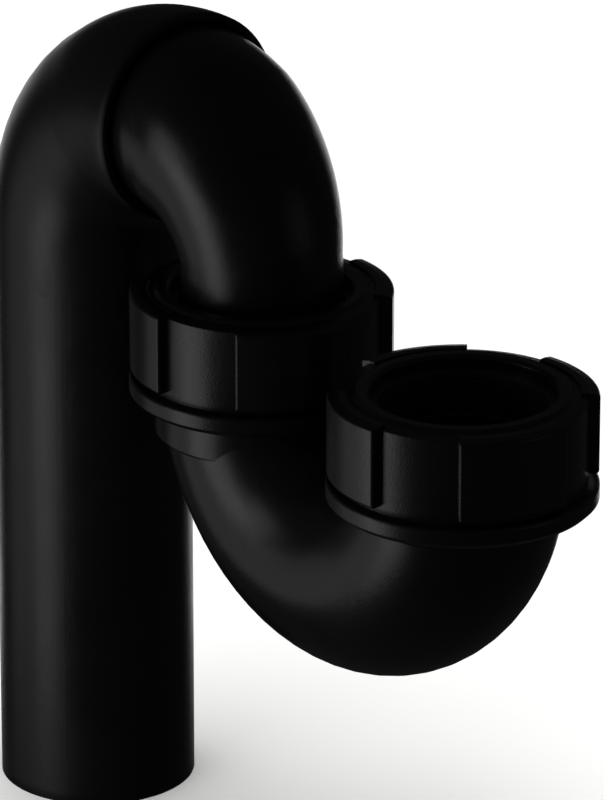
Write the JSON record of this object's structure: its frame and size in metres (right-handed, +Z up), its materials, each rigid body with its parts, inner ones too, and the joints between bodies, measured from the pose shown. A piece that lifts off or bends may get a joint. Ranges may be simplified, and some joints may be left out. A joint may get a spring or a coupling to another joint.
{
  "type": "siphon trap",
  "caption": "Black plastic S-shaped siphon trap: long outlet pipe with arched top, U-bend and ribbed union nuts, holding a water seal in a drain line.",
  "frame": {"origin": "centre of the outlet pipe's lower end", "axes": "+Z up along the outlet pipe, +X from the outlet pipe towards the inlet"},
  "size_m": [0.2056, 0.0654, 0.2159],
  "materials": {
    "pipe_plastic": "satin black polyethylene",
    "nut_plastic": "satin black moulded plastic",
    "washer_plastic": "dark grey plastic",
    "seal_rubber": "matt black rubber"
  },
  "bodies": {
    "outlet": {"outlet_bend": "pipe_plastic", "connecting_elbow": "pipe_plastic"},
    "trap": {"trap_bend": "pipe_plastic", "outlet_seal": "seal_rubber", "inlet_seal": "seal_rubber"},
    "outlet_washer": {"outlet_thrust_washer": "washer_plastic"},
    "outlet_nut": {"outlet_union_nut": "nut_plastic"},
    "inlet_washer": {"inlet_thrust_washer": "washer_plastic"},
    "inlet_nut": {"inlet_union_nut": "nut_plastic"}
  },
  "joints": [
    {"name": "trap_swivel", "type": "hinge", "parent": "outlet", "child": "trap", "pos_m": [0.0699, 0, 0.1478], "axis": [0, 0, 1], "range_deg": [-120, 120]},
    {"name": "outlet_nut_lift", "type": "slide", "parent": "trap", "child": "outlet_washer", "axis": [0, 0, 1], "range_m": [0, 0.0081]},
    {"name": "outlet_nut_turn", "type": "hinge", "parent": "outlet_washer", "child": "outlet_nut", "pos_m": [0.0699, 0, 0.1478], "axis": [0, 0, 1], "range_deg": [0, 1260]},
    {"name": "inlet_nut_lift", "type": "slide", "parent": "trap", "child": "inlet_washer", "axis": [0, 0, 1], "range_m": [0, 0.0139]},
    {"name": "inlet_nut_turn", "type": "hinge", "parent": "inlet_washer", "child": "inlet_nut", "pos_m": [0.1479, 0, 0.1445], "axis": [0, 0, 1], "range_deg": [0, 2160]}
  ],
  "couplings": [
    {"joint": "outlet_nut_lift", "follows": "outlet_nut_turn", "m_per_rad": 0.00036749},
    {"joint": "inlet_nut_lift", "follows": "inlet_nut_turn", "m_per_rad": 0.00036749}
  ]
}
